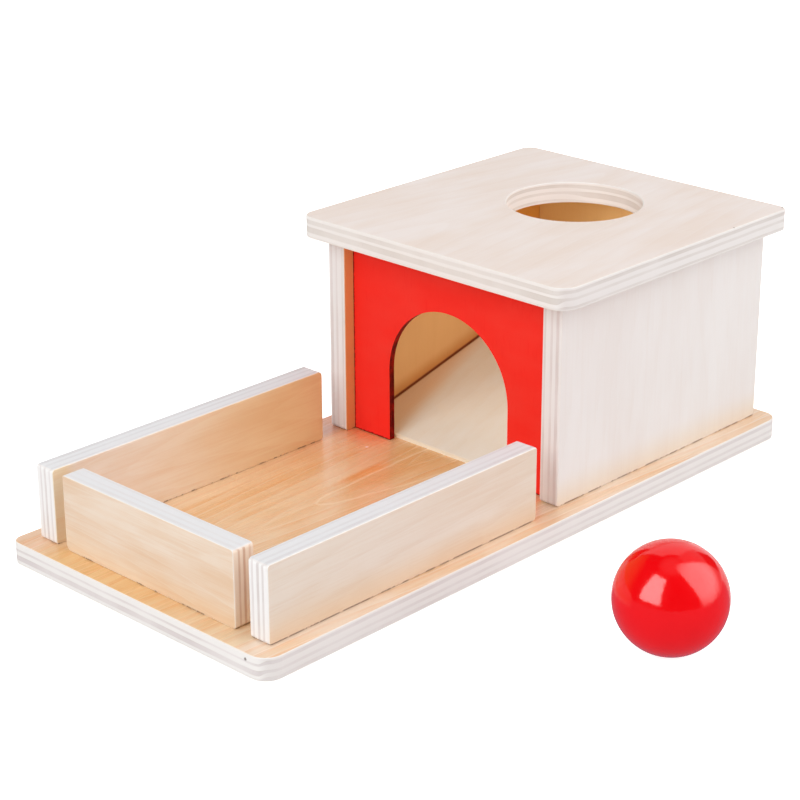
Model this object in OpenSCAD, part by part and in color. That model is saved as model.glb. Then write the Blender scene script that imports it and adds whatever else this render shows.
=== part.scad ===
// Object permanence box. A ball is dropped through the hole in the lid, rolls
// down a hidden ramp and comes out through the arch into an open tray.
// Millimetres, +Z up. The origin is the middle of the base board's underside,
// the tray lies towards -Y and the house towards +Y.

/* [Plywood] */
// Thickness of the plywood of the base, the house and the lid
ply_t = 10; // [6:0.5:14]
// Rounding of the sanded edges
edge_ease = 0.6; // [0.3:0.1:0.8]
// Corner radius of a wall board
wall_corner_r = 1.6; // [1.6:0.1:4]
// Radius of the front right corner of the base board and the lid, seen from above
plan_corner_r = 8.5; // [3:0.5:20]

/* [Base board] */
// Width of the base board
base_w = 154; // [126:1:220]
// Strip of base left in front of the tray
tray_setback = 9.75; // [2:0.25:30]
// Strip of base left outside each tray side wall
tray_side_margin = 8; // [2:0.25:12]
// Open gap between the tray's side walls and the house
tray_house_gap = 15.5; // [4:0.5:40]
// Strip of base left outside each house side wall
house_side_margin = 9.5; // [2:0.5:12]
// Strip of base left behind the house
house_setback = 7.25; // [2:0.25:30]
// Radius of the base board's front left corner
base_left_corner_r = 5; // [3:0.5:20]
// Radius of the base board's two back corners
base_back_corner_r = 7.5; // [3:0.5:20]

/* [Tray] */
// Thickness of the tray walls
tray_wall_t = 10.6; // [6:0.1:14]
// Length of a tray side wall
tray_wall_l = 153; // [110:1:220]
// Height of the tray walls above the base board
tray_wall_h = 33.5; // [28:0.5:60]
// Gap left between the front wall and each side wall
tray_front_gap = 7.2; // [2:0.1:20]
// How far to the right of the middle the front wall is set
tray_front_shift = -1; // [-1:0.5:1]
// Radius of the left side wall's upper corner next to the house
tray_far_corner_r = 2.5; // [1.6:0.1:12]
// Radius of the front wall's lower left corner
tray_front_corner_r = 3; // [1.6:0.1:8]

/* [House] */
// Length of the right side wall of the house, front to back
house_l = 143; // [110:1:200]
// How much further forward the left side wall reaches than the right one
left_side_forward = 1.5; // [0:0.5:3]
// Height of the house walls above the base board
house_wall_h = 92; // [80:1:140]

/* [Front panel] */
// Thickness of the painted front panel
panel_t = 3; // [2:0.5:6]
// Depth of the panel's face behind the right side wall's front end
panel_recess = 4.25; // [2:0.25:15]
// Depth of the groove that holds the panel in each side wall
groove_depth = 3; // [1:0.5:4]
// Width of the arch
arch_w = 70.5; // [50:0.5:76]
// Height of the arch's crown above the base board
arch_h = 69.8; // [50:0.1:75]

/* [Ramp] */
// Thickness of the ramp board
ramp_t = 5; // [3:0.5:8]
// Slope of the ramp in degrees
ramp_slope = 14.3; // [8:0.1:18]
// Height of the bevelled front edge of the ramp
ramp_nose_h = 1.5; // [0.8:0.1:3]
// Gap between the back of the panel and the ramp's front edge
ramp_gap = 1.7; // [0.5:0.1:10]
// Width of the strip that carries the ramp's raised end
rest_w = 10; // [5:0.5:20]

/* [Lid] */
// Overhang of the lid past each house side wall
lid_side_overhang = 9.5; // [0:0.5:20]
// Overhang of the lid past the right side wall's front end
lid_front_overhang = 9.7; // [0:0.1:14]
// Overhang of the lid past the back of the house
lid_back_overhang = 4.3; // [0:0.1:20]
// Radius of the lid's front left corner
lid_left_corner_r = 7; // [3:0.5:20]
// Radius of the lid's back left corner
lid_back_left_corner_r = 6; // [3:0.5:20]
// Radius of the lid's back right corner
lid_back_right_corner_r = 4.5; // [3:0.5:20]
// Diameter of the drop hole
hole_d = 62; // [50:0.5:70]
// Distance from the back wall's inner face to the middle of the drop hole
hole_to_back_wall = 43.7; // [38:0.1:60]

/* [Ball] */
// Diameter of the ball
ball_d = 45; // [30:0.5:48]
// Gap between the base board's right edge and the ball beside it
ball_gap = 68.8; // [5:0.1:200]
// How far in front of the middle of the base the ball lies
ball_forward = 40; // [-100:1:150]

/* [Fasteners] */
// Diameter of the wood screws that hold the walls from below
screw_d = 3.5; // [2.5:0.1:4.5]
// Diameter of a screw's countersunk head
screw_head_d = 7; // [6:0.1:9]
// Length of a wood screw
screw_l = 25; // [18:1:30]
// Distance of a screw from the end of the wall that it holds
screw_inset = 25; // [12:1:28]
// Diameter of the dowels between the house walls and the lid
dowel_d = 6; // [4:0.5:6]
// Length of a dowel
dowel_l = 20; // [14:1:30]
// Depth of a dowel in the lid
dowel_in_lid = 5; // [3:0.5:5]
// Distance of a dowel from the end of the wall that it locates
dowel_inset = 30; // [15:1:45]

/* [Hidden] */
$fn = 96;

// Roundness of the small edge radii
ease_fn = 24;
// Overrun of every cut past the surface that it opens
over = 1;
// How far the rim of a board runs into its middle, so that the two are one
rim_overlap = 2;

// Clearances: panel in its grooves, ramp between the walls, shanks and dowels
groove_play = 0.1;
groove_end_play = 0.2;
panel_foot_gap = 0.3;
ramp_side_play = 0.25;
screw_play = 0.1;
dowel_play = 0.05;
dowel_end_play = 0.5;

// Screw details: sink of the head below the surface, point and cross recess
screw_sink = 0.3;
screw_point_l = 4;
cross_w = 0.9;
cross_l = 3.8;
cross_depth = 1.2;
// Chamfer on the ends of a dowel
dowel_chamfer = 0.8;

// Places along Y, from the tray end to the back of the house
base_l = tray_setback + tray_wall_l + tray_house_gap + house_l + house_setback;
base_front_y = -base_l / 2;
tray_front_y = base_front_y + tray_setback;
tray_back_y = tray_front_y + tray_wall_l;
house_front_y = tray_back_y + tray_house_gap;
house_back_y = house_front_y + house_l;
back_wall_y = house_back_y - ply_t;
panel_y = house_front_y + panel_recess;
ramp_front_y = panel_y + panel_t + ramp_gap;
hole_y = back_wall_y - hole_to_back_wall;

// Corner radii seen from above, anticlockwise from the front left corner
base_corners = [base_left_corner_r, plan_corner_r, base_back_corner_r, base_back_corner_r];
lid_corners = [lid_left_corner_r, plan_corner_r, lid_back_right_corner_r, lid_back_left_corner_r];

// Clear widths between the side walls, and the middle of each wall along X
tray_inner_w = base_w - 2 * (tray_side_margin + tray_wall_t);
house_inner_w = base_w - 2 * (house_side_margin + ply_t);
tray_front_l = tray_inner_w - 2 * tray_front_gap;
tray_wall_x = (tray_inner_w + tray_wall_t) / 2;
house_wall_x = (house_inner_w + ply_t) / 2;

// The lid rests on the house walls and follows their outside
lid_z = ply_t + house_wall_h;
lid_w = house_inner_w + 2 * (ply_t + lid_side_overhang);
lid_l = lid_front_overhang + house_l + lid_back_overhang;

// Screws stand under the middle of each wall's thickness
tray_ends = [tray_front_y + screw_inset, tray_back_y - screw_inset];
house_ends = [house_front_y + screw_inset, house_back_y - screw_inset];
front_ends = (tray_front_l / 2 - screw_inset) * [-1, 1];
back_ends = (house_inner_w / 2 - screw_inset) * [-1, 1];
tray_side_screws = [for (side = [-1, 1], y = tray_ends) [side * tray_wall_x, y]];
tray_front_screws = [for (x = front_ends) [tray_front_shift + x, tray_front_y + tray_wall_t / 2]];
house_side_screws = [for (side = [-1, 1], y = house_ends) [side * house_wall_x, y]];
house_back_screws = [for (x = back_ends) [x, back_wall_y + ply_t / 2]];
all_screws = concat(tray_side_screws, tray_front_screws, house_side_screws, house_back_screws);

// Dowels stand in the top edges of the house walls
dowel_ends = [house_front_y + dowel_inset, house_back_y - dowel_inset];
dowel_back_ends = (house_inner_w / 2 - dowel_inset) * [-1, 1];
side_dowels = [for (side = [-1, 1], y = dowel_ends) [side * house_wall_x, y]];
back_dowels = [for (x = dowel_back_ends) [x, back_wall_y + ply_t / 2]];
all_dowels = concat(side_dowels, back_dowels);

// Height of the ramp's upper and lower face at a place along Y
function ramp_top(y) = ply_t + ramp_nose_h + (y - ramp_front_y) * tan(ramp_slope);
function ramp_under(y) = ramp_top(y) - ramp_t / cos(ramp_slope);

// Section of a board from x = 0 out to a sanded edge at x = reach
module edge_section(reach, thick) {
  square([reach - edge_ease, thick]);
  translate([0, edge_ease]) square([reach, thick - 2 * edge_ease]);
  for (z = [edge_ease, thick - edge_ease])
    translate([reach - edge_ease, z]) circle(edge_ease, $fn = ease_fn);
}

// Board lying on the XY plane with its corner at the origin, sanded all round.
// radii holds the four corner radii, anticlockwise from the origin's corner.
module board(size, thick, radii) {
  corners = [[0, 0], [size.x, 0], size, [0, size.y]];
  inward = [[1, 1], [-1, 1], [-1, -1], [1, -1]];
  centres = [for (i = [0:3]) corners[i] + radii[i] * inward[i]];
  linear_extrude(thick) polygon(centres);
  for (i = [0:3]) {
    next = (i + 1) % 4;
    run = (i % 2 == 0 ? size.x : size.y) - radii[i] - radii[next];
    depth = max(radii[i], radii[next]) + rim_overlap;
    translate(centres[i]) rotate_extrude() edge_section(radii[i], thick);
    translate(corners[i]) rotate(90 * i) translate([radii[i], 0]) rotate([90, 0, 90])
      linear_extrude(run) translate([depth, 0]) mirror([1, 0]) edge_section(depth, thick);
  }
}

// Board standing on its long edge, along Y, thickness towards +X.
// Corner radii: front low, back low, back top, front top.
module board_along_y(size, thick, radii = wall_corner_r * [1, 1, 1, 1]) {
  rotate([90, 0, 90]) board(size, thick, radii);
}

// Board standing on its long edge, along X, thickness towards +Y.
// Corner radii: left low, right low, right top, left top.
module board_along_x(size, thick, radii = wall_corner_r * [1, 1, 1, 1]) {
  translate([0, thick, 0]) rotate([90, 0, 0]) board(size, thick, radii);
}

// Outline of a countersunk screw standing on its head, turned about Z
module screw_blank() {
  head_r = screw_head_d / 2;
  shank_r = screw_d / 2;
  rotate_extrude() polygon([
    [0, screw_sink],
    [head_r, screw_sink],
    [shank_r, screw_sink + head_r - shank_r],
    [shank_r, screw_l - screw_point_l],
    [0, screw_l]
  ]);
}

module screw() {
  difference() {
    screw_blank();
    for (turn = [0, 90]) rotate(turn)
      translate([-cross_l / 2, -cross_w / 2, screw_sink - over])
        cube([cross_l, cross_w, over + cross_depth]);
  }
}

// Countersunk hole through the base board
module screw_hole() {
  head_r = screw_head_d / 2;
  hole_r = screw_d / 2 + screw_play;
  rotate_extrude() polygon([
    [0, -over],
    [head_r, -over],
    [head_r, screw_sink],
    [hole_r, screw_sink + head_r - hole_r],
    [hole_r, ply_t + over],
    [0, ply_t + over]
  ]);
}

// Pilot hole in a wall's lower edge
module pilot_holes(places) {
  for (p = places) translate([p.x, p.y, ply_t - over])
    cylinder(h = over + screw_l - ply_t + screw_play, d = screw_d + 2 * screw_play);
}

// Blind holes for the dowels, from the lid's underside both ways
module dowel_holes(places) {
  for (p = places) translate([p.x, p.y, lid_z + dowel_in_lid - dowel_l - dowel_end_play])
    cylinder(h = dowel_l + 2 * dowel_end_play, d = dowel_d + 2 * dowel_play);
}

module dowel() {
  r = dowel_d / 2;
  rotate_extrude() polygon([
    [0, 0],
    [r - dowel_chamfer, 0],
    [r, dowel_chamfer],
    [r, dowel_l - dowel_chamfer],
    [r - dowel_chamfer, dowel_l],
    [0, dowel_l]
  ]);
}

// Drop hole with both rims sanded like the board's own edges
module drop_hole() {
  r = hole_d / 2;
  translate([0, 0, -over]) cylinder(h = ply_t + 2 * over, r = r);
  for (face = [0, 1])
    translate([0, 0, face * ply_t]) mirror([0, 0, face]) rotate_extrude() difference() {
      translate([0, -over]) square([r + edge_ease, over + edge_ease]);
      translate([r + edge_ease, edge_ease]) circle(edge_ease, $fn = ease_fn);
    }
}

module base_board() {
  color("#e3bd8d") difference() {
    translate([-base_w / 2, base_front_y, 0])
      board([base_w, base_l], ply_t, base_corners);
    for (p = all_screws) translate([p.x, p.y, 0]) screw_hole();
  }
}

module tray_side(side, far_corner_r) {
  color("#ecd3b4") difference() {
    translate([side * tray_wall_x - tray_wall_t / 2, tray_front_y, ply_t])
      board_along_y([tray_wall_l, tray_wall_h], tray_wall_t,
        [wall_corner_r, wall_corner_r, far_corner_r, wall_corner_r]);
    pilot_holes(tray_side_screws);
  }
}

module tray_side_left() tray_side(-1, tray_far_corner_r);

module tray_side_right() tray_side(1, wall_corner_r);

module tray_front() {
  color("#ecd3b4") difference() {
    translate([tray_front_shift - tray_front_l / 2, tray_front_y, ply_t])
      board_along_x([tray_front_l, tray_wall_h], tray_wall_t,
        [tray_front_corner_r, wall_corner_r, wall_corner_r, wall_corner_r]);
    pilot_holes(tray_front_screws);
  }
}

// Groove for the panel, cut in from a side wall's inner face
module panel_groove(side) {
  inner_x = side * house_inner_w / 2;
  translate([inner_x - (side < 0 ? groove_depth : over), panel_y - groove_play, ply_t - over])
    cube([groove_depth + over, panel_t + 2 * groove_play, house_wall_h + 2 * over]);
}

module house_side(side, forward) {
  color("#e9d8c8") difference() {
    translate([side * house_wall_x - ply_t / 2, house_front_y - forward, ply_t])
      board_along_y([house_l + forward, house_wall_h], ply_t);
    panel_groove(side);
    pilot_holes(house_side_screws);
    dowel_holes(side_dowels);
  }
}

module house_side_left() house_side(-1, left_side_forward);

module house_side_right() house_side(1, 0);

module house_back() {
  color("#e9d8c8") difference() {
    translate([-house_inner_w / 2, back_wall_y, ply_t])
      board_along_x([house_inner_w, house_wall_h], ply_t);
    pilot_holes(house_back_screws);
    dowel_holes(back_dowels);
  }
}

// Inverted U: a thin panel with a round-headed arch cut up from its foot
module front_panel() {
  width = house_inner_w + 2 * (groove_depth - groove_end_play);
  height = house_wall_h - panel_foot_gap;
  springing = arch_h - panel_foot_gap - arch_w / 2;
  color("#f0352b") translate([0, panel_y + panel_t, ply_t + panel_foot_gap])
    rotate([90, 0, 0]) linear_extrude(panel_t) difference() {
      translate([-width / 2, 0]) square([width, height]);
      translate([-arch_w / 2, -over]) square([arch_w, springing + over]);
      translate([0, springing]) circle(d = arch_w);
    }
}

// Extrudes a YZ outline across the house, between the side walls
module across_house() {
  width = house_inner_w - 2 * ramp_side_play;
  translate([-width / 2, 0, 0]) rotate([90, 0, 90]) linear_extrude(width) children();
}

// The ramp's underside is bevelled at the front to lie flat on the base board
module ramp() {
  bevel_y = ramp_front_y + (ramp_t / cos(ramp_slope) - ramp_nose_h) / tan(ramp_slope);
  color("#ecdcc0") across_house() polygon([
    [ramp_front_y, ply_t],
    [bevel_y, ply_t],
    [back_wall_y, ramp_under(back_wall_y)],
    [back_wall_y, ramp_top(back_wall_y)],
    [ramp_front_y, ramp_top(ramp_front_y)]
  ]);
}

// Strip glued to the back wall, its top edge planed to the ramp's slope
module ramp_rest() {
  rest_y = back_wall_y - rest_w;
  color("#e3c79c") across_house() polygon([
    [rest_y, ply_t],
    [back_wall_y, ply_t],
    [back_wall_y, ramp_under(back_wall_y)],
    [rest_y, ramp_under(rest_y)]
  ]);
}

module lid_board() {
  color("#ecdccb") difference() {
    translate([-lid_w / 2, house_front_y - lid_front_overhang, lid_z])
      board([lid_w, lid_l], ply_t, lid_corners);
    translate([0, hole_y, lid_z]) drop_hole();
    dowel_holes(all_dowels);
  }
}

module base_screws() {
  color("silver") for (p = all_screws) translate([p.x, p.y, 0]) screw();
}

module lid_dowels() {
  color("#d9b583") for (p = all_dowels)
    translate([p.x, p.y, lid_z + dowel_in_lid - dowel_l]) dowel();
}

module ball() {
  color("#e8262a")
    translate([base_w / 2 + ball_gap + ball_d / 2, -ball_forward, ball_d / 2])
      sphere(d = ball_d);
}

base_board();
tray_side_left();
tray_side_right();
tray_front();
house_side_left();
house_side_right();
house_back();
front_panel();
ramp();
ramp_rest();
lid_board();
base_screws();
lid_dowels();
ball();
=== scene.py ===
import math

import bmesh
import bpy
from mathutils import Matrix, Vector


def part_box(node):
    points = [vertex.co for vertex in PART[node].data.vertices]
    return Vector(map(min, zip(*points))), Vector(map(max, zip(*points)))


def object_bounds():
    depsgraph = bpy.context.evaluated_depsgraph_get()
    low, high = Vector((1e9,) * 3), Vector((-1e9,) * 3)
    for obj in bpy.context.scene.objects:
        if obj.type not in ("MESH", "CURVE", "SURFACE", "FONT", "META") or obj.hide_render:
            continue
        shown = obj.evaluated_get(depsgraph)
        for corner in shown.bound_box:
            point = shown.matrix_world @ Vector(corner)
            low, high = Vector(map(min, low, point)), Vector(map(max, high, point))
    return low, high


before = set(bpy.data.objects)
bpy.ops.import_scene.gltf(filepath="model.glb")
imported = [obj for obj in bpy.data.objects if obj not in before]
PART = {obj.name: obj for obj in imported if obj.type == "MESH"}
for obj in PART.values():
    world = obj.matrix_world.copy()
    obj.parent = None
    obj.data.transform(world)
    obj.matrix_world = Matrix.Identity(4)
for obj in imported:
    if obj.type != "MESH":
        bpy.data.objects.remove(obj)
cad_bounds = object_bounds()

# Object permanence box: a birch plywood base with an open tray and a closed house,
# a red front panel with an arch, a ramp inside and a loose red ball.
# Metres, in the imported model's frame: tray towards -Y, house towards +Y.

MM = 0.001
BASE_TOP = 10 * MM


def rgb(red, green, blue):
    """A colour as it is written in an sRGB picture, 0 to 255, as linear RGBA."""
    def linear(value):
        share = value / 255
        return share / 12.92 if share <= 0.04045 else ((share + 0.055) / 1.055) ** 2.4
    return (linear(red), linear(green), linear(blue), 1.0)


# Node trees

class Tree:
    """A shader node tree written as sums: each call adds a node and returns its output."""

    def __init__(self, tree):
        self.nodes = tree.nodes
        self.links = tree.links

    def add(self, kind, **settings):
        node = self.nodes.new("ShaderNode" + kind)
        for name, value in settings.items():
            setattr(node, name, value)
        return node

    def feed(self, socket, value):
        if isinstance(value, bpy.types.NodeSocket):
            self.links.new(value, socket)
        elif value is not None:
            socket.default_value = value

    def sum(self, operation, *values, clamp=False):
        node = self.add("Math", operation=operation, use_clamp=clamp)
        for socket, value in zip(node.inputs, values):
            self.feed(socket, value)
        return node.outputs[0]

    def plus(self, first, second, clamp=False):
        return self.sum("ADD", first, second, clamp=clamp)

    def minus(self, first, second):
        return self.sum("SUBTRACT", first, second)

    def times(self, first, second, clamp=False):
        return self.sum("MULTIPLY", first, second, clamp=clamp)

    def over(self, first, second):
        return self.sum("DIVIDE", first, second)

    def vector(self, operation, *values):
        node = self.add("VectorMath", operation=operation)
        for socket, value in zip(node.inputs, values):
            self.feed(socket, value)
        return node.outputs["Value" if operation in ("LENGTH", "DISTANCE") else "Vector"]

    def dot(self, vector, direction):
        node = self.add("VectorMath", operation="DOT_PRODUCT")
        self.feed(node.inputs[0], vector)
        self.feed(node.inputs[1], direction)
        return node.outputs["Value"]

    def split(self, vector):
        node = self.add("SeparateXYZ")
        self.feed(node.inputs[0], vector)
        return node.outputs

    def join(self, x, y, z):
        node = self.add("CombineXYZ")
        for socket, value in zip(node.inputs, (x, y, z)):
            self.feed(socket, value)
        return node.outputs[0]

    def fade(self, value, start, end, low=0.0, high=1.0):
        """Rises smoothly from low at start to high at end."""
        node = self.add("MapRange", interpolation_type="SMOOTHSTEP")
        for socket, number in zip(node.inputs, (value, start, end, low, high)):
            self.feed(socket, number)
        return node.outputs[0]

    def noise(self, place, scale, detail=2.0, roughness=0.5):
        """Noise from 0 to 1. scale is a number, or one for each direction of place."""
        if isinstance(scale, tuple):
            place, scale = self.vector("MULTIPLY", place, scale), 1.0
        node = self.add("TexNoise")
        given = {"Vector": place, "Scale": scale, "Detail": detail, "Roughness": roughness}
        for name, value in given.items():
            self.feed(node.inputs[name], value)
        return node.outputs["Fac"]

    def swing(self, noise):
        """The same noise from -0.5 to 0.5."""
        return self.minus(noise, 0.5)

    def mix(self, share, first, second, blend="MIX"):
        node = self.add("Mix", data_type="RGBA", blend_type=blend)
        colours = [socket for socket in node.inputs if socket.type == "RGBA"]
        self.feed(node.inputs["Factor"], share)
        self.feed(colours[0], first)
        self.feed(colours[1], second)
        return next(socket for socket in node.outputs if socket.type == "RGBA")

    def blend(self, share, first, second):
        """A mix of two vectors."""
        node = self.add("Mix", data_type="VECTOR")
        ends = [socket for socket in node.inputs
                if socket.type == "VECTOR" and socket.name in ("A", "B")]
        self.feed(node.inputs["Factor"], share)
        self.feed(ends[0], first)
        self.feed(ends[1], second)
        return next(socket for socket in node.outputs if socket.type == "VECTOR")

    def place(self, group, **values):
        """Adds a node group, its inputs set by name with _ for a space."""
        node = self.add("Group", node_tree=group)
        for name, value in values.items():
            self.feed(node.inputs[name.replace("_", " ")], value)
        return node.outputs


def new_group(name, inputs, outputs):
    """An empty node group. Returns it, its tree, its inputs and its outputs."""
    kinds = {"vector": "NodeSocketVector", "colour": "NodeSocketColor", "value": "NodeSocketFloat"}
    group = bpy.data.node_groups.new(name, "ShaderNodeTree")
    for label, kind in inputs.items():
        group.interface.new_socket(label, in_out="INPUT", socket_type=kinds[kind])
    for label, kind in outputs.items():
        group.interface.new_socket(label, in_out="OUTPUT", socket_type=kinds[kind])
    tree = Tree(group)
    given = tree.nodes.new("NodeGroupInput").outputs
    made = tree.nodes.new("NodeGroupOutput").inputs
    return group, tree, given, made


# What a thin pale line of the grain adds to the palest veneer
PALE_GRAIN = rgb(20, 60, 84)
# How often the marks of the grain repeat in a metre: along it, across it and into the board
DRIFT = (9, 30, 30)
CLOUD = (14, 42, 42)
SILK = (60, 150, 150)
STREAK = (11, 230, 230)
LONG_FIBRE = (16, 700, 700)
FINE_FIBRE = (60, 2600, 2600)
PORE = (240, 3400, 3400)


def birch_figure_group():
    """Rotary-cut birch veneer. Place runs along the grain, across it and into the board."""
    group, tree, given, made = new_group(
        "Birch figure",
        {"Place": "vector", "Pale": "colour", "Warm": "colour", "Vein": "colour",
         "Figure": "value", "Streak": "value", "Fibre": "value", "Fleck": "value",
         "Loop": "value", "Breadth": "value", "Apex": "vector", "Pale line": "value"},
        {"Color": "colour", "Roughness": "value", "Height": "value"})
    place = given["Place"]
    along, across, _ = tree.split(place)
    drift = tree.noise(place, DRIFT, 3.0)
    wobble = tree.times(tree.swing(drift), 12 * MM)
    apex_along, apex_across, _ = tree.split(given["Apex"])
    side = tree.minus(tree.plus(across, wobble), apex_across)
    spread = tree.over(side, given["Breadth"])
    ring = tree.sum("SQRT", tree.plus(tree.times(spread, spread), 1.0))
    # how fast the rings follow each other here, so that a line keeps its width
    steepness = tree.over(tree.sum("ABSOLUTE", spread), tree.times(given["Breadth"], ring))
    steepness = tree.plus(steepness, tree.sum("ABSOLUTE", tree.over(1.0, given["Loop"])))
    forward = tree.over(tree.minus(along, apex_along), given["Loop"])
    ring = tree.plus(tree.minus(forward, ring), tree.times(drift, 0.4))
    late = tree.sum("FRACT", ring)
    late_wood = tree.times(tree.fade(late, 0.45, 0.93), tree.fade(late, 1.0, 0.95))
    line_end = tree.times(given["Pale line"], steepness)
    pale_line = tree.times(tree.fade(late, line_end, 0.0), tree.fade(late, 0.0, 0.02))
    cloud = tree.fade(tree.noise(place, CLOUD, 2.0, 0.55), 0.3, 0.7)
    silk = tree.noise(place, SILK, 2.0, 0.6)
    streak = tree.noise(place, STREAK, 3.0, 0.6)
    long_fibre = tree.noise(place, LONG_FIBRE, 3.0, 0.6)
    fine_fibre = tree.noise(place, FINE_FIBRE)
    pore = tree.fade(tree.noise(place, PORE, 1.0), 0.66, 0.8)
    shade = tree.times(tree.swing(long_fibre), 1.5)
    shade = tree.plus(shade, tree.swing(fine_fibre))
    shade = tree.times(shade, given["Fibre"])
    ring_share = tree.times(late_wood, given["Figure"])
    tone = tree.plus(cloud, tree.times(tree.swing(silk), 0.8))
    tone = tree.plus(tone, tree.times(tree.swing(streak), given["Streak"]))
    tone = tree.plus(tone, shade, clamp=True)
    line_share = tree.times(tree.times(pale_line, given["Figure"]), 4.0, clamp=True)
    colour = tree.mix(tone, given["Pale"], given["Warm"])
    veins = tree.plus(ring_share, tree.times(pore, given["Fleck"]))
    veins = tree.plus(veins, tree.times(shade, 0.35), clamp=True)
    colour = tree.mix(veins, colour, given["Vein"])
    bright = tree.mix(1.0, given["Pale"], PALE_GRAIN, "SCREEN")
    tree.feed(made["Color"], tree.mix(line_share, colour, bright))
    tree.feed(made["Roughness"], tree.plus(shade, tree.times(pore, 0.5)))
    height = tree.plus(tree.times(long_fibre, 0.5), tree.times(fine_fibre, 0.5))
    tree.feed(made["Height"], tree.minus(height, pore))
    return group


# Darker plies of a cut edge as shares of the thickness, from the board's outer face:
# middle, half width and strength. The grain ends show in other plies than its sides.
PLIES_AT_ENDS = ((0.235, 0.085, 0.8), (0.595, 0.125, 1.0), (0.93, 0.03, 0.3))
PLIES_AT_SIDES = ((0.185, 0.065, 1.0), (0.50, 0.05, 0.7), (0.86, 0.04, 0.8))
# How softly a ply ends, as a share of the thickness, and how strongly its glue line shows
PLY_FADE = 0.03
GLUE_STRENGTH = 0.25


def ply_edge_group():
    """The cut edge of plywood. Depth is the share of the thickness, Place the point itself."""
    group, tree, given, made = new_group(
        "Ply edge",
        {"Depth": "value", "Place": "vector", "First": "vector", "Second": "vector", "Third": "vector",
         "Side grain": "colour", "End grain": "colour", "Glue": "colour", "Contrast": "value"},
        {"Color": "colour", "Roughness": "value", "Height": "value"})
    place = given["Place"]
    bend = tree.swing(tree.noise(place, 55.0))
    depth = tree.plus(given["Depth"], tree.times(bend, 0.05))
    stripe, glue = None, None
    for label in ("First", "Second", "Third"):
        middle, half_width, strength = tree.split(given[label])
        off = tree.sum("ABSOLUTE", tree.minus(depth, middle))
        beyond = tree.minus(off, half_width)
        band = tree.times(tree.fade(beyond, PLY_FADE, -PLY_FADE), strength)
        line = tree.times(tree.fade(tree.sum("ABSOLUTE", beyond), PLY_FADE, 0.0), strength)
        stripe = band if stripe is None else tree.sum("MAXIMUM", stripe, band)
        glue = line if glue is None else tree.sum("MAXIMUM", glue, line)
    rough = tree.noise(place, (900, 900, 900), 3.0, 0.7)
    long_tone = tree.noise(place, (45, 45, 45), 3.0)
    pit = tree.fade(tree.noise(place, 1500.0, 1.0), 0.68, 0.8)
    share = tree.times(stripe, tree.fade(long_tone, 0.25, 0.7, 0.55, 1.0))
    share = tree.times(share, given["Contrast"], clamp=True)
    colour = tree.mix(share, given["Side grain"], given["End grain"])
    glue_share = tree.times(tree.times(glue, tree.fade(long_tone, 0.3, 0.65)), GLUE_STRENGTH)
    glue_share = tree.times(glue_share, given["Contrast"], clamp=True)
    colour = tree.mix(glue_share, colour, given["Glue"])
    spots = tree.times(tree.times(pit, stripe), GLUE_STRENGTH)
    tree.feed(made["Color"], tree.mix(spots, colour, given["Glue"]))
    tree.feed(made["Roughness"], tree.plus(tree.times(stripe, 0.12), tree.times(rough, 0.1)))
    height = tree.minus(tree.times(rough, 0.5), tree.times(stripe, 0.7))
    tree.feed(made["Height"], tree.minus(height, pit))
    return group


def worn_and_lit_edge_group():
    """A mask that is 1 on a board's arrises and fades out raggedly over Width.
    Place runs from the board's middle and Half size is half of its length, width and thickness."""
    group, tree, given, made = new_group(
        "Worn and lit edge",
        {"Place": "vector", "Half size": "vector", "Width": "value"},
        {"Mask": "value"})
    room = tree.vector("SUBTRACT", given["Half size"], tree.vector("ABSOLUTE", given["Place"]))
    x, y, z = tree.split(room)
    # the middle one of the three distances to a border is the distance to the nearest arris
    low = tree.sum("MINIMUM", tree.sum("MINIMUM", x, y), z)
    high = tree.sum("MAXIMUM", tree.sum("MAXIMUM", x, y), z)
    total = tree.plus(tree.plus(x, y), z)
    to_arris = tree.minus(tree.minus(total, low), high)
    ragged = tree.swing(tree.noise(given["Place"], 420.0, 3.0, 0.6))
    reach = tree.times(given["Width"], tree.plus(1.0, tree.times(ragged, 1.4)))
    tree.feed(made["Mask"], tree.fade(to_arris, reach, 0.0))
    return group


def speck_group():
    """A small round mark at Spot: 1 in its middle, fading out at Radius."""
    group, tree, given, made = new_group(
        "Speck", {"Place": "vector", "Spot": "vector", "Radius": "value"}, {"Mask": "value"})
    ragged = tree.times(tree.noise(given["Place"], 1800.0, 1.0), given["Radius"])
    distance = tree.minus(tree.vector("DISTANCE", given["Place"], given["Spot"]), ragged)
    tree.feed(made["Mask"], tree.fade(distance, given["Radius"], 0.0))
    return group


def growth_line_group():
    """One vee-shaped growth line from its Apex on, leaning by Lean. Curl is how wide it opens."""
    group, tree, given, made = new_group(
        "Growth line",
        {"Place": "vector", "Apex": "vector", "Curl": "value", "Lean": "value", "Width": "value"},
        {"Mask": "value"})
    along, across, _ = tree.split(tree.vector("SUBTRACT", given["Place"], given["Apex"]))
    wander = tree.times(tree.swing(tree.noise(given["Place"], 90.0, 1.0)), 3 * MM)
    spread = tree.plus(wander, tree.minus(across, tree.times(along, given["Lean"])))
    opening = tree.over(spread, given["Curl"])
    off = tree.sum("ABSOLUTE", tree.minus(along, tree.times(opening, spread)))
    slope = tree.times(opening, 2.0)
    steepness = tree.sum("SQRT", tree.plus(1.0, tree.times(slope, slope)))
    distance = tree.over(off, steepness)
    tree.feed(made["Mask"], tree.fade(distance, given["Width"], tree.times(given["Width"], 0.2)))
    return group


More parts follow.
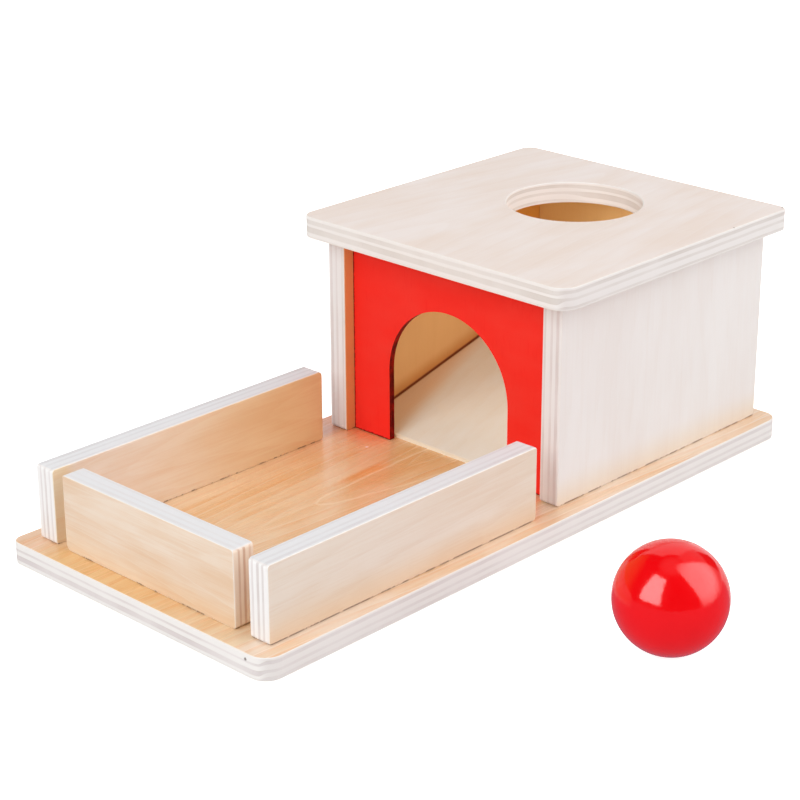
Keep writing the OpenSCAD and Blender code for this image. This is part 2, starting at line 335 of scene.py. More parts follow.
def foot_dash_group():
    """Broken dark dashes along a foot, where a wall meets the base. Height is the distance above the
    joint.
    """
    group, tree, given, made = new_group(
        "Glue line",
        {"Place": "vector", "Height": "value", "Width": "value", "Cover": "value"},
        {"Mask": "value"})
    dashes = tree.noise(given["Place"], (170, 170, 0), 4.0, 0.65)
    limit = tree.minus(1.0, given["Cover"])
    broken = tree.fade(dashes, tree.minus(limit, 0.03), tree.plus(limit, 0.05))
    near = tree.fade(given["Height"], given["Width"], tree.times(given["Width"], 0.3))
    tree.feed(made["Mask"], tree.times(broken, near))
    return group


BIRCH_FIGURE = birch_figure_group()
PLY_EDGE = ply_edge_group()
WORN_AND_LIT_EDGE = worn_and_lit_edge_group()
SPECK = speck_group()
GROWTH_LINE = growth_line_group()
FOOT_DASHES = foot_dash_group()


# Materials

def new_material(name):
    """A material with its Principled BSDF. Returns it, its tree and the shader."""
    material = bpy.data.materials.new(name)
    material.use_nodes = True
    tree = Tree(material.node_tree)
    return material, tree, material.node_tree.nodes["Principled BSDF"]


def bump(tree, height, strength, distance):
    node = tree.add("Bump")
    node.inputs["Strength"].default_value = strength
    node.inputs["Distance"].default_value = distance
    tree.feed(node.inputs["Height"], height)
    return node.outputs["Normal"]


def middle_and_half_size(node):
    low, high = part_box(node)
    return (low + high) / 2, (high - low) / 2


def turned(tree, vector, order):
    """The vector's parts in another order, such as grain, width, thickness."""
    parts = tree.split(vector)
    return tree.join(*[parts["XYZ".index(axis)] for axis in order])


# What a cut edge along the grain is multiplied by: it looks a little darker than an end
LONG_SIDE = rgb(244, 242, 242)
# Directions that a tint can follow, and the faces that it can keep to
LEFT_RIGHT, FRONT_BACK, UP = (1, 0, 0), (0, 1, 0), (0, 0, 1)
FACING_UP = ("faces", UP, 0.8, 0.95)
FACING_RIGHT = ("faces", LEFT_RIGHT, 0.5, 0.9)
FACING_LEFT = ("faces", (-1, 0, 0), 0.5, 0.9)
FACING_FRONT = ("faces", (0, -1, 0), 0.5, 0.9)


def tinted(tree, colour, point, tints):
    """Multiplies colour by soft tints. Each is a colour and the borders that it fades in over:
    the direction, where it starts and ends in metres. A border with "faces" goes by the normal."""
    for tint, *borders in tints:
        share = None
        for kind, direction, start, end in borders:
            along = tree.dot(point["Normal" if kind == "faces" else "Object"], direction)
            step = tree.fade(along, start, end)
            share = step if share is None else tree.times(share, step)
        colour = tree.mix(share, colour, tint, "MULTIPLY")
    return colour


# The pale line of a vee in the grain and how much of the colour it takes
VEE_LINE = rgb(255, 240, 226)
VEE_SHARE = 0.6
# How much of the colour bare wood takes on an arris: partly real wear, partly a painted highlight where
# light catches the eased edge
WORN_AND_LIT_SHARE = 0.25
# A cut edge's roughness before its plies change it
EDGE_MATT = 0.60
# The dark dashes at a wall's foot: their height, colour and strength
FOOT_DASH_HEIGHT = 0.9 * MM
FOOT_DASH_COLOUR = rgb(112, 72, 48)
FOOT_DASH_SHARE = 0.85
# How far apart the boards' veneers lie in the pattern: along the grain and into the board
STEP_ALONG, STEP_DEEP = 0.37, 0.11


def birch_board(name, node, order, outer, tone, tints=(), specks=(), foot=None, matt=0.46, vee=None):
    """Lacquered birch plywood for one board. order gives its axes: grain, width, thickness,
    outer the side of its outer face along the thickness, 1 or -1, tone its colours and grain,
    tints what tinted() takes, specks the place, radius and colour of each mark, foot how much
    of its foot has dark dashes, matt its faces' roughness and vee the Growth line's values."""
    material, tree, shader = new_material(name)
    middle, half = middle_and_half_size(node)
    point = tree.add("TexCoord").outputs
    local = tree.vector("SUBTRACT", point["Object"], tuple(middle))
    place = turned(tree, local, order)
    half_size = tuple(half["XYZ".index(axis)] for axis in order)
    thickness = 2 * half_size[2]
    facing = tree.split(tree.vector("ABSOLUTE", turned(tree, point["Normal"], order)))
    veneer = tree.fade(facing[2], 0.80, 0.93)
    shift = tone["seed"] * STEP_ALONG
    seeded = tree.vector("ADD", place, (shift, 0.0, tone["seed"] * STEP_DEEP))
    apex = (tone["apex"][0] + shift, tone["apex"][1], 0.0)
    figure = tree.place(
        BIRCH_FIGURE, Place=seeded, Pale=tone["pale"], Warm=tone["warm"], Vein=tone["vein"],
        Figure=tone["figure"], Streak=tone["streak"], Fibre=tone["fibre"], Fleck=tone["fleck"],
        Loop=tone["loop"], Breadth=tone["breadth"], Apex=apex, Pale_line=tone["line"])
    depth = tree.minus(0.5, tree.times(tree.split(place)[2], outer / thickness))
    long_side = tree.fade(facing[1], 0.4, 0.8)
    plies = [tree.blend(long_side, end, side) for end, side in zip(tone["ends"], tone["sides"])]
    side_grain, end_grain = [
        tree.mix(long_side, ply, tree.mix(1.0, ply, LONG_SIDE, "MULTIPLY"))
        for ply in (tone["side"], tone["end"])]
    edge = tree.place(
        PLY_EDGE, Depth=depth, Place=seeded, First=plies[0], Second=plies[1], Third=plies[2],
        Side_grain=side_grain, End_grain=end_grain, Glue=tone["glue"],
        Contrast=tree.fade(long_side, 0.0, 1.0, *tone["contrast"]))
    colour = tree.mix(veneer, edge["Color"], figure["Color"])
    if vee is not None:
        line = tree.place(GROWTH_LINE, Place=place, **vee)["Mask"]
        colour = tree.mix(tree.times(tree.times(line, veneer), VEE_SHARE), colour, VEE_LINE)
    # paler arrises: partly real wear, partly a painted highlight on the eased edge
    worn_and_lit = tree.place(WORN_AND_LIT_EDGE, Place=place, Half_size=half_size, Width=tone["worn_and_lit"])
    colour = tree.mix(tree.times(worn_and_lit["Mask"], WORN_AND_LIT_SHARE), colour, tone["bare"])
    colour = tinted(tree, colour, point, tints)
    if foot is not None:
        above = tree.minus(tree.split(point["Object"])[2], BASE_TOP)
        dashes = tree.place(
            FOOT_DASHES, Place=point["Object"], Height=above, Width=FOOT_DASH_HEIGHT, Cover=foot)
        colour = tree.mix(tree.times(dashes["Mask"], FOOT_DASH_SHARE), colour, FOOT_DASH_COLOUR)
    for spot, radius, mark in specks:
        mask = tree.place(SPECK, Place=point["Object"], Spot=spot, Radius=radius)["Mask"]
        colour = tree.mix(mask, colour, mark)
    tree.feed(shader.inputs["Base Color"], colour)
    cut = tree.minus(1.0, veneer)
    face_rough = tree.times(veneer, tree.plus(matt, tree.times(figure["Roughness"], 0.12)))
    edge_rough = tree.times(cut, tree.plus(EDGE_MATT, edge["Roughness"]))
    tree.feed(shader.inputs["Roughness"], tree.plus(face_rough, edge_rough, clamp=True))
    face_height = tree.times(veneer, tree.times(figure["Height"], 0.5))
    height = tree.plus(face_height, tree.times(cut, edge["Height"]))
    tree.feed(shader.inputs["Normal"], bump(tree, height, 0.35, 0.08 * MM))
    return material


def birch_tone(pale, warm, vein, seed, **changes):
    """The colours and strengths of one board's veneer and cut edge."""
    tone = {"pale": rgb(*pale), "warm": rgb(*warm), "vein": rgb(*vein), "seed": seed,
            "side": rgb(248, 244, 241), "end": rgb(224, 215, 214), "glue": rgb(176, 156, 140),
            "bare": rgb(250, 240, 228), "figure": 0.25, "streak": 0.5, "fibre": 0.5, "fleck": 0.25,
            "loop": -55 * MM, "breadth": 9 * MM, "apex": (0, 0), "line": 0.5 * MM, "worn_and_lit": 1.0 * MM,
            "ends": PLIES_AT_ENDS, "sides": PLIES_AT_SIDES, "contrast": (1.0, 1.0)}
    tone.update(changes)
    return tone


def dress(node, material):
    """Gives a CAD node one material and keeps its mesh."""
    slots = PART[node].data.materials
    slots.clear()
    slots.append(material)


# The ramp's slope in degrees. Height above its face, as a direction, and its value on the face
RAMP_SLOPE = 14.3
RAMP_RISE = math.tan(math.radians(RAMP_SLOPE))
ABOVE_RAMP = (0, -RAMP_RISE, 1)
ON_RAMP = 5.65 * MM


def base_material():
    """The base board, paler on the right, golden in front, with a painted orange glow of light bounced
    off the red panel towards it.
    """
    between = (("at", LEFT_RIGHT, 0.064, 0.058), ("at", LEFT_RIGHT, -0.066, -0.058))
    near_panel = ("at", FRONT_BACK, 0.034, 0.024)
    tints = [
        # the tray's floor, warmer towards the panel: a painted glow of light bounced off the red panel
        (rgb(255, 250, 232), *between),
        (rgb(255, 246, 233), *between, ("at", FRONT_BACK, -0.130, -0.020)),
        # an orange flame in its grain
        (rgb(255, 228, 196), ("at", LEFT_RIGHT, -0.022, -0.019), ("at", LEFT_RIGHT, -0.014, -0.017),
         ("at", FRONT_BACK, -0.040, -0.022), ("at", FRONT_BACK, 0.004, -0.010)),
        # the strip in front of the tray and its left corner
        (rgb(255, 238, 206), ("at", FRONT_BACK, -0.150, -0.156), ("at", LEFT_RIGHT, 0.050, -0.010),
         ("at", LEFT_RIGHT, -0.064, -0.050)),
        (rgb(255, 240, 228), ("at", FRONT_BACK, -0.140, -0.156), ("at", LEFT_RIGHT, -0.050, -0.064)),
        # the panel's left foot: a painted orange glow of light bounced off the red panel, and left of it
        # a painted cool lavender reflection of the bright slit between the tray's left wall and the
        # house
        (rgb(255, 205, 177), ("at", FRONT_BACK, 0.000, 0.018), ("at", LEFT_RIGHT, -0.022, -0.050),
         near_panel),
        (rgb(236, 232, 246), ("at", FRONT_BACK, -0.020, 0.004), ("at", LEFT_RIGHT, -0.056, -0.064),
         near_panel),
        # the strip on the right where tray and house meet
        (rgb(255, 248, 240), ("at", LEFT_RIGHT, 0.064, 0.068), ("at", FRONT_BACK, -0.100, -0.040),
         ("at", FRONT_BACK, 0.060, 0.010))]
    tints = [(tint, FACING_UP, *borders) for tint, *borders in tints]
    dark, white = rgb(110, 92, 84), rgb(252, 248, 242)
    tone = birch_tone(
        (244, 222, 201), (236, 199, 161), (234, 166, 112), 1.0, figure=0.20, streak=1.0, fibre=0.9,
        fleck=0.3, loop=95 * MM, breadth=6 * MM, apex=(22 * MM, -9 * MM), line=1.1 * MM,
        contrast=(1.0, 0.65),
        ends=((0.335, 0.035, 0.8), (0.68, 0.10, 1.0), (0.97, 0.02, 0.2)),
        sides=((0.185, 0.065, 1.0), (0.55, 0.05, 0.8), (0.85, 0.05, 0.8)))
    return birch_board(
        "birch_base", "base_board", "YXZ", 1, tone, tints, matt=0.26,
        vee=dict(Apex=(-53 * MM, -9 * MM, 5 * MM), Curl=2.2 * MM, Lean=0.08, Width=1.0 * MM),
        specks=[((0.066, -0.16425, 0.0075), 0.6 * MM, dark),
                ((-0.0378, 0.0058, 0.010), 0.7 * MM, white)])


def dress_tray():
    """The tray's walls: warmer inside from a painted glow of light bounced off the red panel, warmer at
    the foot from painted light bounced off the base, with painted shade in the gaps at the front, cool
    on top.
    """
    look = dict(figure=0.14, streak=0.7, fibre=0.6, fleck=0.25, loop=80 * MM, breadth=8 * MM,
                side=rgb(251, 249, 248),
                ends=((0.27, 0.04, 0.8), (0.52, 0.05, 1.0), (0.80, 0.04, 0.6)))
    strong, faint = (1.0, 0.45), (1.0, 0.15)
    # painted glow of light bounced off the red panel, stronger on the left wall's inner face towards the
    # house
    panel_bounce_glow = (rgb(255, 234, 191), FACING_RIGHT, ("at", FRONT_BACK, -0.150, -0.010))
    # painted shade in the gap between the left wall and the front wall
    shade_in_the_gap = (rgb(255, 246, 222), FACING_RIGHT, ("at", FRONT_BACK, -0.142, -0.149))
    cool_top = (rgb(244, 248, 251), FACING_UP)
    dress("tray_side_left", birch_board(
        "birch_tray_left", "tray_side_left", "YZX", -1,
        birch_tone((244, 235, 227), (238, 221, 205), (226, 186, 152), 2.0, apex=(60 * MM, 4 * MM),
                   contrast=strong, **look),
        [panel_bounce_glow, shade_in_the_gap, cool_top], foot=0.47))
    dress("tray_side_right", birch_board(
        "birch_tray_right", "tray_side_right", "YZX", 1,
        birch_tone((239, 225, 211), (235, 216, 197), (216, 178, 146), 3.0, apex=(-20 * MM, -12 * MM),
                   contrast=strong, **{**look, "figure": 0.10, "streak": 0.3}),
        # warmer low on the outer face: painted warm light bounced off the base
        [(rgb(255, 247, 235), FACING_RIGHT, ("at", UP, 0.026, 0.012)), cool_top], foot=0.56))
    dress("tray_front", birch_board(
        "birch_tray_front", "tray_front", "XZY", -1,
        birch_tone((247, 228, 208), (240, 209, 178), (228, 184, 140), 4.0, apex=(-30 * MM, 8 * MM),
                   contrast=faint, end=rgb(218, 191, 178), **look),
        # warmer low down: painted warm light bounced off the base; the right end darker and warmer:
        # painted shade in the gap by the right wall
        [(rgb(255, 253, 246), ("at", UP, 0.026, 0.010)), (rgb(255, 236, 218), FACING_RIGHT), cool_top],
        foot=0.44))


def dress_house():
    """The house's walls: pale outside, golden inside from a painted glow of light bounced about in the
    house, and browner in painted shade where the ramp meets them.
    """
    colours = ((242, 236, 233), (239, 231, 227), (226, 209, 197))
    look = dict(figure=0.05, streak=0.2, fibre=0.45, fleck=0.15, side=rgb(253, 251, 250),
                end=rgb(234, 225, 223))
    # painted golden glow of light bounced about inside the house, on the walls' inner faces
    golden = rgb(250, 200, 132)
    behind = (("at", FRONT_BACK, 0.021, 0.022), FACING_RIGHT)
    # painted deeper orange shade high at the back of the left wall's inner face
    high = (rgb(252, 226, 160), ("at", UP, 0.072, 0.086), ("at", FRONT_BACK, 0.100, 0.120), *behind)
    # painted shade on the left wall above the ramp, and a darker painted line of shade in the narrow gap
    # at the joint
    shade = (rgb(232, 206, 176), ("at", ABOVE_RAMP, ON_RAMP + 9 * MM, ON_RAMP + 1 * MM), *behind)
    joint = (rgb(150, 104, 66), ("at", ABOVE_RAMP, ON_RAMP + 1.5 * MM, ON_RAMP + 0.5 * MM), *behind)
    dress("house_side_left", birch_board(
        "birch_house_left", "house_side_left", "ZYX", -1, birch_tone(*colours, 5.0, **look),
        [(golden, FACING_RIGHT), high, shade, joint], foot=0.5))
    dress("house_side_right", birch_board(
        "birch_house_right", "house_side_right", "ZYX", 1, birch_tone(*colours, 6.0, **look),
        # painted golden glow of light bounced about inside, and warmer low on the outer face from
        # painted light bounced off the base
        [(golden, FACING_LEFT), (rgb(253, 246, 233), ("at", UP, 0.026, 0.010), FACING_RIGHT)], foot=0.5))
    dress("house_back", birch_board(
        "birch_house_back", "house_back", "ZXY", 1, birch_tone(*colours, 7.0, **look),
        # painted golden glow of light bounced about inside, on the back wall's inner face
        [(rgb(255, 218, 149), FACING_FRONT)], foot=0.5))


def lid_material():
    """The lid's board, with two small marks near its right side."""
    mark = rgb(150, 124, 110)
    return birch_board(
        "birch_lid", "lid_board", "YXZ", 1,
        birch_tone((240, 228, 222), (236, 219, 208), (226, 202, 186), 8.0, figure=0.12, streak=0.4,
                   fibre=0.25, fleck=0.2, apex=(0, -20 * MM), end=rgb(226, 219, 213)),
        specks=[((0.0746, 0.1594, 0.112), 0.5 * MM, mark),
                ((0.0764, 0.1200, 0.112), 0.4 * MM, mark)])


def dress_boards():
    dress("base_board", base_material())
    dress_tray()
    dress_house()
    dress("lid_board", lid_material())


def ramp_wood():
    """Smooth pale birch board of the ramp and the strip under it, with a painted highlight on its nose
    and sides and browner in painted shade along the left wall.
    """
    material, tree, shader = new_material("ramp_birch")
    point = tree.add("TexCoord").outputs
    place = turned(tree, point["Object"], "YXZ")
    figure = tree.place(
        BIRCH_FIGURE, Place=place, Pale=rgb(247, 246, 236), Warm=rgb(244, 240, 226),
        Vein=rgb(232, 214, 188), Figure=0.08, Streak=0.3, Fibre=0.35, Fleck=0.15, Loop=70 * MM,
        Breadth=9 * MM, Apex=(0, 10 * MM, 0), Pale_line=0.5 * MM)
    # painted highlight on the ramp's nose and sides
    side = tree.fade(tree.sum("ABSOLUTE", tree.split(point["Normal"])[2]), 0.9, 0.6)
    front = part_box("ramp")[0].y
    nose = tree.fade(tree.split(point["Object"])[1], front + 1.0 * MM, front + 0.5 * MM)
    bright = tree.sum("MAXIMUM", nose, tree.times(side, 0.6))
    colour = tree.mix(bright, figure["Color"], rgb(255, 250, 232))
    # painted shade along the left wall, darker in a thin line at the joint
    colour = tinted(tree, colour, point, [
        (rgb(250, 222, 196), ("at", (1, 0.25, 0), -0.024, -0.036)),
        (rgb(196, 160, 134), ("at", LEFT_RIGHT, -0.0562, -0.0571))])
    tree.feed(shader.inputs["Base Color"], colour)
    tree.feed(shader.inputs["Roughness"], tree.plus(0.5, tree.times(figure["Roughness"], 0.1)))
    tree.feed(shader.inputs["Normal"], bump(tree, figure["Height"], 0.3, 0.05 * MM))
    return material


# Half of the panel's width between the house's walls, and the height of its foot
PANEL_HALF = 57.5 * MM
PANEL_FOOT = 10.3 * MM
# The dark border along them: where it starts to fade and where it ends
BORDER_FULL, BORDER_END = 0.9 * MM, 1.5 * MM


def red_panel_paint():
    """Satin red paint on thin board, bare behind, its cut arch edge scorched dark."""
    material, tree, shader = new_material("red_panel_paint")
    point = tree.add("TexCoord").outputs
    x, _, z = tree.split(point["Object"])
    backward = tree.split(point["Normal"])[1]
    cloud = tree.noise(point["Object"], (30, 30, 60), 3.0)
    grain = tree.noise(point["Object"], (900, 900, 120), 3.0, 0.6)
    paint = tree.mix(tree.fade(cloud, 0.3, 0.7), rgb(255, 50, 40), rgb(255, 59, 49))
    paint = tree.mix(tree.times(tree.fade(grain, 0.55, 0.8), 0.25), paint, rgb(246, 20, 14))
    ragged = tree.times(tree.noise(point["Object"], 700.0, 3.0, 0.7), 1.6 * MM)
    to_side = tree.plus(tree.minus(PANEL_HALF, tree.sum("ABSOLUTE", x)), ragged)
    to_foot = tree.plus(tree.minus(z, PANEL_FOOT), ragged)
    border = tree.fade(tree.sum("MINIMUM", to_side, to_foot), BORDER_END, BORDER_FULL)
    paint = tree.mix(tree.times(border, 0.8), paint, rgb(96, 4, 4))
    bare = tree.mix(grain, rgb(240, 222, 196), rgb(226, 200, 168))
    paint = tree.mix(tree.fade(backward, 0.4, 0.8), paint, bare)
    scorch = tree.noise(point["Object"], 260.0, 3.0, 0.6)
    burnt = tree.mix(tree.fade(scorch, 0.3, 0.7), rgb(152, 14, 0), rgb(88, 2, 0))
    face = tree.fade(tree.sum("ABSOLUTE", backward), 0.4, 0.8)
    tree.feed(shader.inputs["Base Color"], tree.mix(face, burnt, paint))
    shader.inputs["Specular IOR Level"].default_value = 0.05
    rough = tree.plus(0.42, tree.times(grain, 0.12))
    tree.feed(shader.inputs["Roughness"], rough)
    tree.feed(shader.inputs["Normal"], bump(tree, grain, 0.25, 0.05 * MM))
    return material


def ball_lacquer():
    """Deep red gloss lacquer over a turned wooden ball."""
    material, tree, shader = new_material("red_ball_lacquer")
    point = tree.add("TexCoord").outputs["Object"]
    cloud = tree.noise(point, 60.0, 3.0)
    dust = tree.fade(tree.noise(point, 1400.0), 0.68, 0.8)
    colour = tree.mix(tree.fade(cloud, 0.3, 0.7), rgb(246, 0, 8), rgb(251, 2, 12))
    colour = tree.mix(tree.times(dust, 0.04), colour, rgb(255, 90, 90))
    tree.feed(shader.inputs["Base Color"], colour)
    peel = tree.noise(point, 420.0, 3.0, 0.6)
    tree.feed(shader.inputs["Roughness"], tree.plus(0.10, tree.times(cloud, 0.05)))
    tree.feed(shader.inputs["Normal"], bump(tree, peel, 0.35, 0.10 * MM))
    return material


def zinc_screw():
    """Zinc-plated steel with fine turning marks."""
    material, tree, shader = new_material("zinc_screw")
    point = tree.add("TexCoord").outputs["Object"]
    streak = tree.noise(point, (2500, 2500, 400), 3.0)
    tree.feed(shader.inputs["Base Color"], tree.mix(streak, rgb(196, 198, 202), rgb(226, 226, 230)))
    shader.inputs["Metallic"].default_value = 1.0
    tree.feed(shader.inputs["Roughness"], tree.plus(0.28, tree.times(streak, 0.2)))
    tree.feed(shader.inputs["Normal"], bump(tree, streak, 0.2, 0.03 * MM))
    return material


def beech_dowel():
    """Fluted beech dowel, bare wood with short dark flecks."""
    material, tree, shader = new_material("beech_dowel")
    place = turned(tree, tree.add("TexCoord").outputs["Object"], "ZXY")
    figure = tree.place(
        BIRCH_FIGURE, Place=place, Pale=rgb(232, 200, 158), Warm=rgb(222, 184, 138),
        Vein=rgb(180, 132, 90), Figure=0.2, Streak=0.5, Fibre=0.8, Fleck=0.8, Loop=40 * MM,
        Breadth=9 * MM, Apex=(0, 0, 0), Pale_line=0.0)
    tree.feed(shader.inputs["Base Color"], figure["Color"])
    tree.feed(shader.inputs["Roughness"], tree.plus(0.6, tree.times(figure["Roughness"], 0.1)))
    tree.feed(shader.inputs["Normal"], bump(tree, figure["Height"], 0.4, 0.05 * MM))
    return material


def dress_other_parts():
    wood = ramp_wood()
    dress("ramp", wood)
    dress("ramp_rest", wood)
    dress("front_panel", red_panel_paint())
    dress("ball", ball_lacquer())
    dress("base_screws", zinc_screw())
    dress("lid_dowels", beech_dowel())


# Studio

# Half of the floor's side and how far it lies under the toy
FLOOR_REACH = 4.0
FLOOR_DROP = 0.4 * MM
# The floor is clear to a ray that starts closer to it than this, so it doesn't darken the toy's foot
TOUCHING = 2 * MM
# The sky's strength for the light that falls on the toy
SKY_LEVEL = 0.60
# Each lamp's name, its direction and distance from the middle of the toy, its size and its power
LAMPS = [
    ("front_softbox", (-0.03, -0.80, 0.60), 1.3, (0.80, 0.90), 5.7),
    ("right_window", (0.70, 0.42, 0.58), 1.5, (1.3, 1.3), 8.3),
    ("back_reflector", (-0.80, 0.58, 0.12), 1.5, (0.9, 0.30), 4.6),
]
# A small fill lamp in the house, for the light that a long exposure gathers there
HOUSE_FILL = {"place": (0.054, 0.085, 0.060), "towards": (-1.0, 0.0, -0.1),
              "size": (0.09, 0.06), "power": 0.025}
# What the gloss shows of the studio: bounds in azimuth (0 is -Y, 90 is +X) and elevation
# in degrees round the ball, how far the bounds in azimuth lean for each degree of elevation,
# the brightness, the colour and, where the glow fades, the azimuth and elevation of its
# middle, the angles from there where it is full and where it is dim, and the share left then
ROOM_RADIUS = 2.4
WHITE = rgb(255, 255, 255)
ROOM_PARTS = [
    ("softbox_front", (-28, 17), (11, 61), 0.0, 6.8, WHITE, None),
    ("window_front", (100, 176), (-1, 84), -0.25, 4.0, WHITE, (122, 40, 20, 50, 0.12)),
    ("dim_left_wall", (-106, -44), (-1, 44), 0.0, 0.66, rgb(255, 216, 120), (-92, 6, 14, 46, 0.02)),
    ("dark_wall", (-104, 112), (-1, 68), -0.12, 0.02, WHITE, None),
    ("back_wall", (150, 193), (-1, 26), 0.0, 0.05, WHITE, None),
    ("back_glow", (150, 196), (26, 68), 0.0, 0.5, WHITE, None),
    ("ceiling", (-180, 181), (62, 90), 0.0, 0.42, WHITE, (0, 90, 4, 27, 0.1)),
]
# The floor between the ball and the camera as the gloss shows it
GLOSS_FLOOR = {"radius": 2.3, "azimuths": (-100, 170), "step": 5, "drop": 0.2 * MM,
               "brightness": 0.34, "colour": rgb(236, 228, 255)}


def floor_material():
    """White to the camera and in reflections, pale grey to the light that bounces off it."""
    material = bpy.data.materials.new("floor_white")
    material.use_nodes = True
    tree = Tree(material.node_tree)
    tree.nodes.clear()
    ray = tree.add("LightPath").outputs
    diffuse = tree.add("BsdfDiffuse")
    mottle = tree.noise(tree.add("TexCoord").outputs["Object"], 3.0)
    grey = tree.mix(tree.fade(mottle, 0.3, 0.7), rgb(234, 234, 234), rgb(238, 238, 238))
    tree.feed(diffuse.inputs["Color"], grey)
    glow = tree.add("Emission")
    away = tree.vector("LENGTH", tree.add("TexCoord").outputs["Object"])
    to_camera = tree.times(ray["Is Camera Ray"], tree.fade(away, 0.15, 1.2, 0.85, 1.0))
    to_gloss = tree.sum("MAXIMUM", ray["Is Glossy Ray"], ray["Is Transmission Ray"])
    to_gloss = tree.times(to_gloss, tree.fade(away, 0.25, 1.2, 0.0, 1.0))
    tree.feed(glow.inputs["Strength"], tree.plus(to_camera, to_gloss))
    both = tree.add("AddShader")
    tree.links.new(diffuse.outputs[0], both.inputs[0])
    tree.links.new(glow.outputs[0], both.inputs[1])
    clear = tree.add("BsdfTransparent")
    choice = tree.add("MixShader")
    behind = tree.add("NewGeometry").outputs["Backfacing"]
    touching = tree.sum("LESS_THAN", ray["Ray Length"], TOUCHING)
    tree.feed(choice.inputs[0], tree.sum("MAXIMUM", behind, touching))
    tree.links.new(both.outputs[0], choice.inputs[1])
    tree.links.new(clear.outputs[0], choice.inputs[2])
    tree.links.new(choice.outputs[0], tree.add("OutputMaterial").inputs["Surface"])
    return material


def finished(name, shape, *looks):
    """Turns a bmesh into an object with its materials."""
    mesh = bpy.data.meshes.new(name)
    shape.to_mesh(mesh)
    shape.free()
    for material in looks:
        mesh.materials.append(material)
    piece = bpy.data.objects.new(name, mesh)
    bpy.context.scene.collection.objects.link(piece)
    return piece


def build_floor():
    shape = bmesh.new()
    bmesh.ops.create_grid(shape, x_segments=1, y_segments=1, size=FLOOR_REACH)
    bmesh.ops.translate(shape, vec=(0, 0, -FLOOR_DROP), verts=shape.verts)
    finished("floor", shape, floor_material())


def direction_of(azimuth, elevation):
    """The unit vector at an azimuth (0 is -Y, 90 is +X) and an elevation in degrees."""
    turn, rise = math.radians(azimuth), math.radians(elevation)
    return Vector((math.sin(turn) * math.cos(rise), -math.cos(turn) * math.cos(rise), math.sin(rise)))


def ball_middle():
    low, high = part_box("ball")
    return (low + high) / 2


def glowing(name, brightness, colour, fading=None):
    """An even glow, or one that fades out round a middle direction from the ball."""
    material = bpy.data.materials.new(name)
    material.use_nodes = True
    tree = Tree(material.node_tree)
    tree.nodes.clear()
    glow = tree.add("Emission")
    glow.inputs["Strength"].default_value = brightness
    glow.inputs["Color"].default_value = colour
    if fading is not None:
        azimuth, elevation, full, dim, left = fading
        point = tree.add("TexCoord").outputs["Object"]
        outward = tree.vector("SUBTRACT", point, tuple(ball_middle()))
        nearness = tree.dot(tree.vector("NORMALIZE", outward), tuple(direction_of(azimuth, elevation)))
        dim, full = math.cos(math.radians(dim)), math.cos(math.radians(full))
        strength = tree.fade(nearness, dim, full, left * brightness, brightness)
        tree.feed(glow.inputs["Strength"], strength)
    tree.links.new(glow.outputs[0], tree.add("OutputMaterial").inputs["Surface"])
    return material


def room_part(direction):
    """The number of the part of the room that lies in this direction, or None."""
    azimuth = math.degrees(math.atan2(direction.x, -direction.y))
    elevation = math.degrees(math.asin(direction.z / direction.length))
    for number, (_, azimuths, elevations, lean, *_) in enumerate(ROOM_PARTS):
        first, last = (bound + lean * elevation for bound in azimuths)
        if elevations[0] < elevation < elevations[1] and (azimuth - first) % 360 < last - first:
            return number
    return None


def build_reflected_room():
    """The studio's lamps and dark walls as the gloss shows them, seen by reflections alone."""
    shape = bmesh.new()
    bmesh.ops.create_uvsphere(shape, u_segments=180, v_segments=90, radius=ROOM_RADIUS)
    open_side = []
    for face in shape.faces:
        number = room_part(face.calc_center_median())
        if number is None:
            open_side.append(face)
        else:
            face.material_index = number
    bmesh.ops.delete(shape, geom=open_side, context="FACES")
    bmesh.ops.translate(shape, vec=ball_middle(), verts=shape.verts)
    looks = [glowing(name, *look) for name, _, _, _, *look in ROOM_PARTS]
    for_gloss_alone(finished("reflected_room", shape, *looks))


def for_gloss_alone(piece):
    """Stage dressing that only reflections see."""
    for kind in ("camera", "diffuse", "transmission", "volume_scatter", "shadow"):
        setattr(piece, "visible_" + kind, False)


def build_gloss_floor():
    """A dim fan of floor in front of the ball, seen by reflections alone."""
    shape = bmesh.new()
    middle = ball_middle()
    middle.z = -GLOSS_FLOOR["drop"]
    first, last = GLOSS_FLOOR["azimuths"]
    turns = range(first, last + 1, GLOSS_FLOOR["step"])
    rim = [middle + GLOSS_FLOOR["radius"] * direction_of(azimuth, 0) for azimuth in turns]
    shape.faces.new([shape.verts.new(spot) for spot in [middle, *rim]])
    look = glowing("gloss_floor", GLOSS_FLOOR["brightness"], GLOSS_FLOOR["colour"])
    for_gloss_alone(finished("gloss_floor", shape, look))


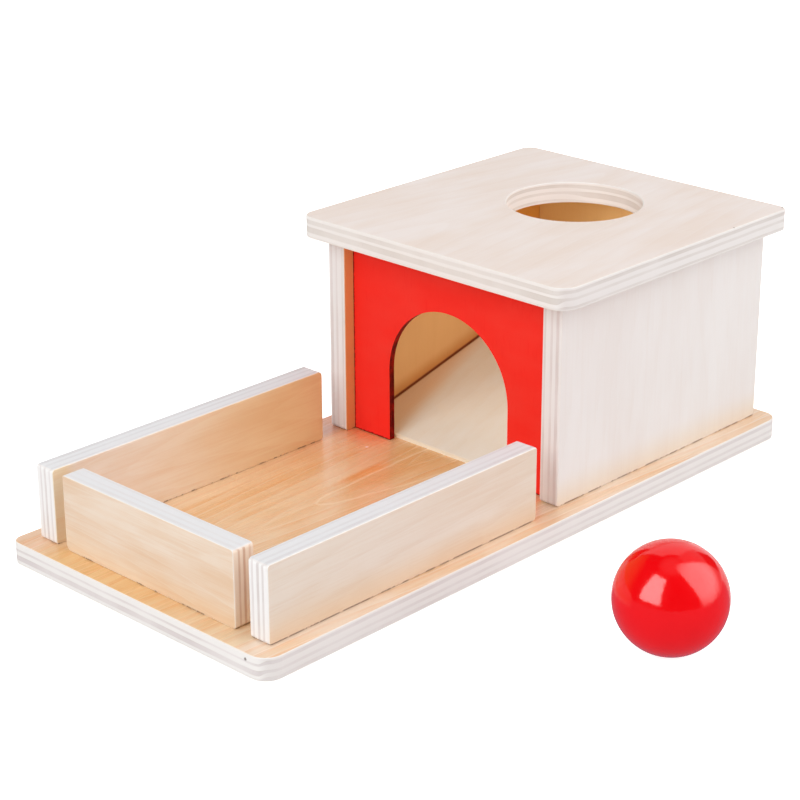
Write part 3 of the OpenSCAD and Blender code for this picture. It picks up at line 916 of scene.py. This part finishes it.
def build_sky():
    world = bpy.data.worlds.new("studio")
    world.use_nodes = True
    bpy.context.scene.world = world
    tree = Tree(world.node_tree)
    tree.nodes.clear()
    ray = tree.add("LightPath").outputs
    seen = tree.sum("MAXIMUM", ray["Is Camera Ray"],
                    tree.sum("MAXIMUM", ray["Is Glossy Ray"], ray["Is Transmission Ray"]))
    sky = tree.add("Background")
    sky.inputs["Color"].default_value = (1, 1, 1, 1)
    tree.feed(sky.inputs["Strength"], tree.fade(seen, 0.0, 1.0, SKY_LEVEL, 1.0))
    tree.links.new(sky.outputs[0], tree.add("OutputWorld").inputs["Surface"])


def add_lamp(name, place, towards, size, power):
    """A soft rectangular lamp that shines along towards. The reflected room shows it in gloss."""
    light = bpy.data.lights.new(name, "AREA")
    light.shape = "RECTANGLE"
    light.size, light.size_y = size
    light.energy = power
    lamp = bpy.data.objects.new(name, light)
    lamp.location = place
    lamp.rotation_euler = Vector(towards).to_track_quat("-Z", "Y").to_euler()
    lamp.visible_camera = False
    lamp.visible_glossy = False
    bpy.context.scene.collection.objects.link(lamp)


def build_lamps():
    low, high = cad_bounds
    middle = (low + high) / 2
    for name, direction, distance, size, power in LAMPS:
        outward = Vector(direction).normalized()
        add_lamp(name, middle + outward * distance, -outward, size, power)
    add_lamp("house_fill", **HOUSE_FILL)


# Camera, solved from the photograph's straight edges: metres, degrees and millimetres of lens
CAMERA_PLACE = (0.61227, -0.64942, 0.40376)
CAMERA_AZIMUTH = 43.834
CAMERA_ELEVATION = 21.898
CAMERA_ROLL = -0.264
CAMERA_LENS = 99.643


def build_camera():
    data = bpy.data.cameras.new("camera")
    data.sensor_width = 36
    data.lens = CAMERA_LENS
    data.clip_start, data.clip_end = 0.01, 50
    camera = bpy.data.objects.new("camera", data)
    turn = (Matrix.Rotation(math.radians(CAMERA_AZIMUTH), 4, "Z")
            @ Matrix.Rotation(math.radians(90 - CAMERA_ELEVATION), 4, "X")
            @ Matrix.Rotation(math.radians(CAMERA_ROLL), 4, "Z"))
    camera.matrix_world = Matrix.Translation(CAMERA_PLACE) @ turn
    bpy.context.scene.collection.objects.link(camera)
    bpy.context.scene.camera = camera


dress_boards()
dress_other_parts()
build_floor()
build_reflected_room()
build_gloss_floor()
build_sky()
build_lamps()
build_camera()
bpy.context.scene.view_settings.view_transform = "Standard"
